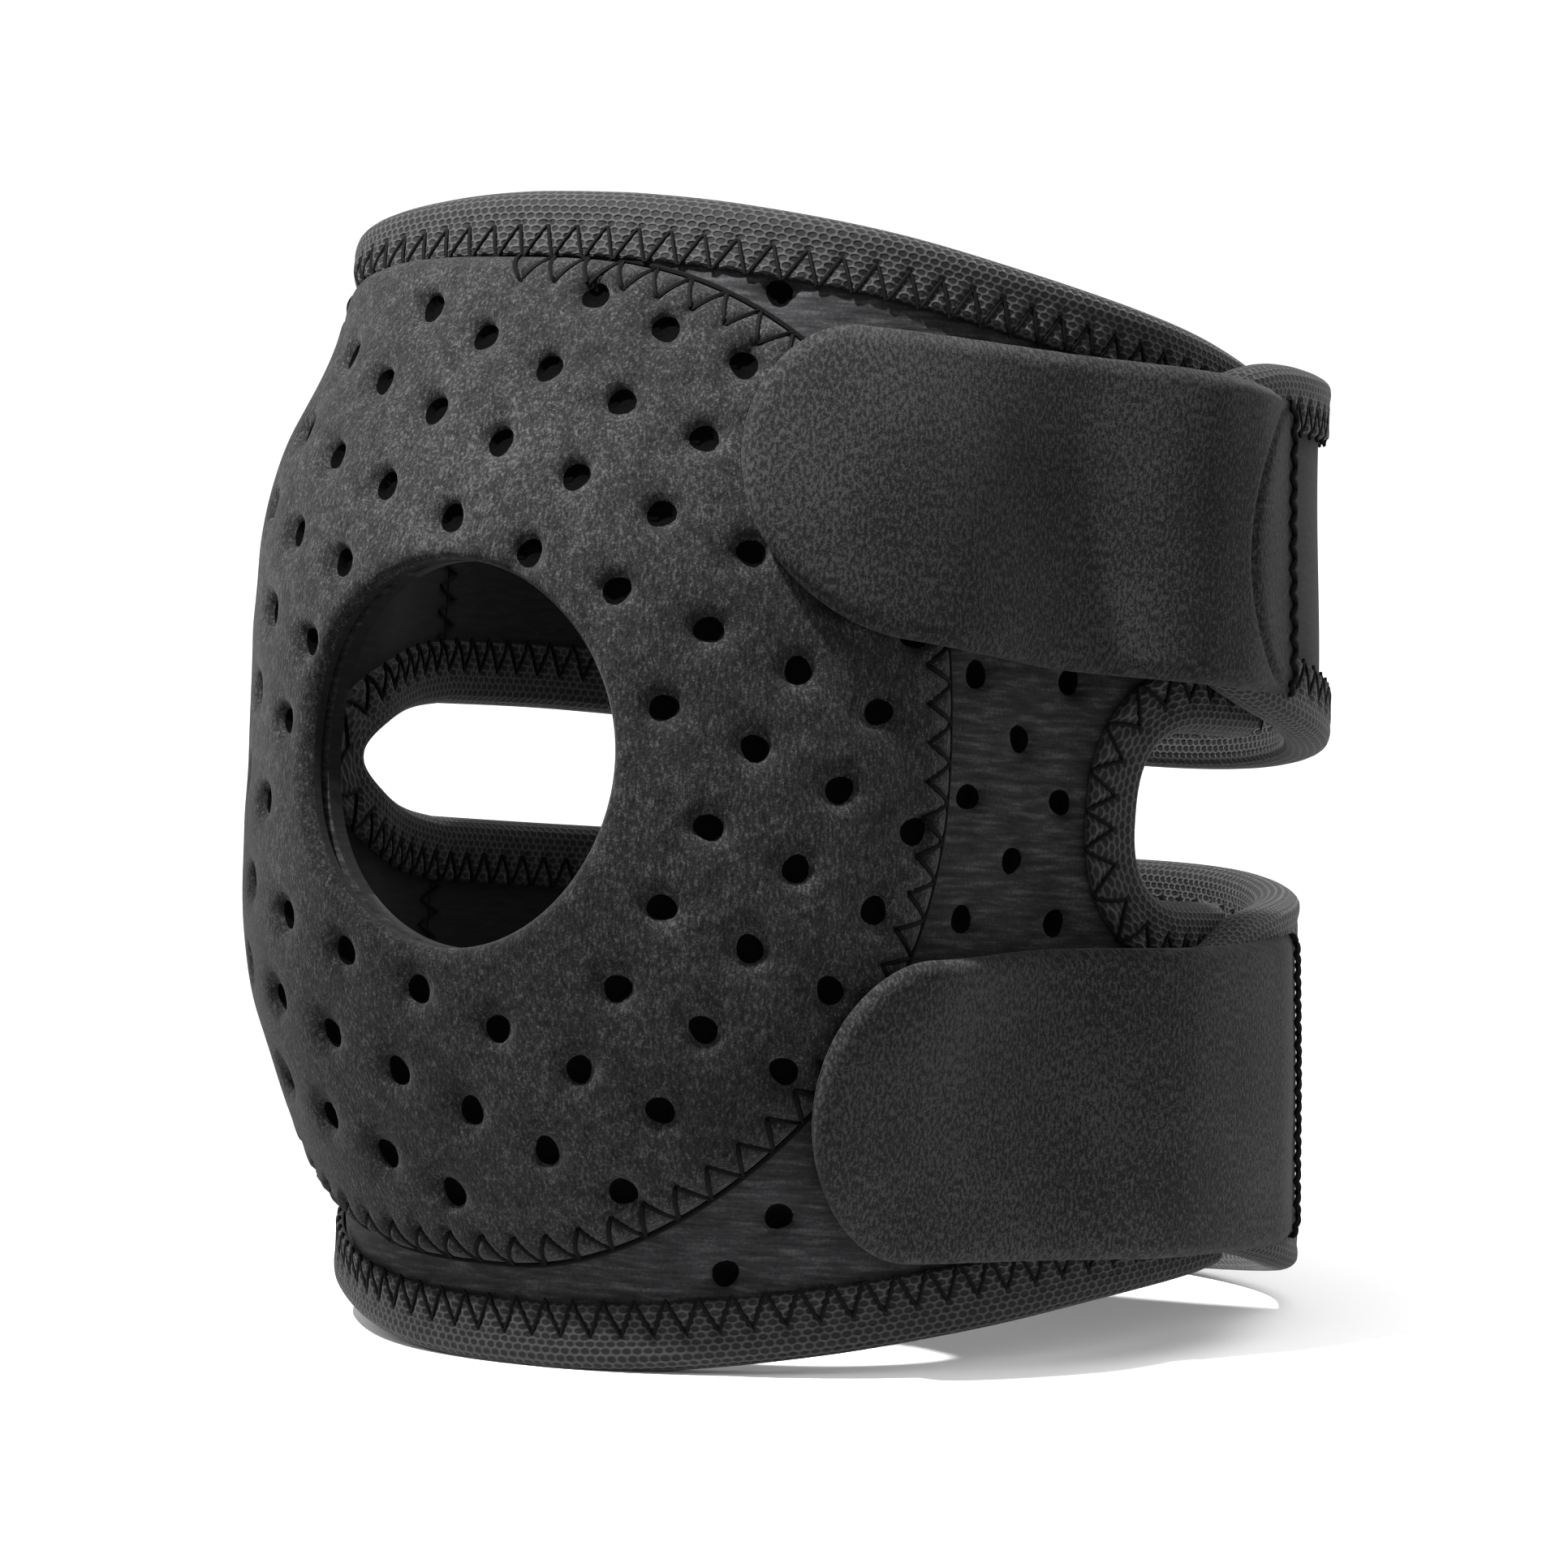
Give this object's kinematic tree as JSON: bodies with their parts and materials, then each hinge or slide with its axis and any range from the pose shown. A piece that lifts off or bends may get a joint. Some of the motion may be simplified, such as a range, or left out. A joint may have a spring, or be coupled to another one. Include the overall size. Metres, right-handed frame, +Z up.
{
  "type": "elbow compression sleeve",
  "caption": "Closed elbow support wrap of perforated neoprene: domed pad round an open elbow hole, mesh-bound edges, arms round the back and rounded hook-and-loop tabs.",
  "frame": {"origin": "centre of the bounding box's base, on the floor that the lower hem stands on", "axes": "+Z up, the elbow hole faces -Y, the tabs close at +X, the arms run round the back at +Y"},
  "size_m": [0.107, 0.1238, 0.1199],
  "materials": {
    "panel_neoprene": "matt brushed jersey face on neoprene",
    "pad_cloth": "matt brushed loop face, mottled",
    "arm_neoprene": "matt jersey face on neoprene",
    "tab_cloth": "matt ribbed loop face",
    "mesh_tape": "knitted hexagonal mesh, slight sheen"
  },
  "bodies": {
    "root": {"front_panel": "panel_neoprene", "elbow_pad": "pad_cloth", "upper_arm": "arm_neoprene", "lower_arm": "arm_neoprene", "upper_tab": "tab_cloth", "lower_tab": "tab_cloth", "top_tape": "mesh_tape", "bottom_tape": "mesh_tape", "notch_tape": "mesh_tape", "window_tape": "mesh_tape", "upper_arm_tape": "mesh_tape", "lower_arm_tape": "mesh_tape"}
  },
  "joints": []
}
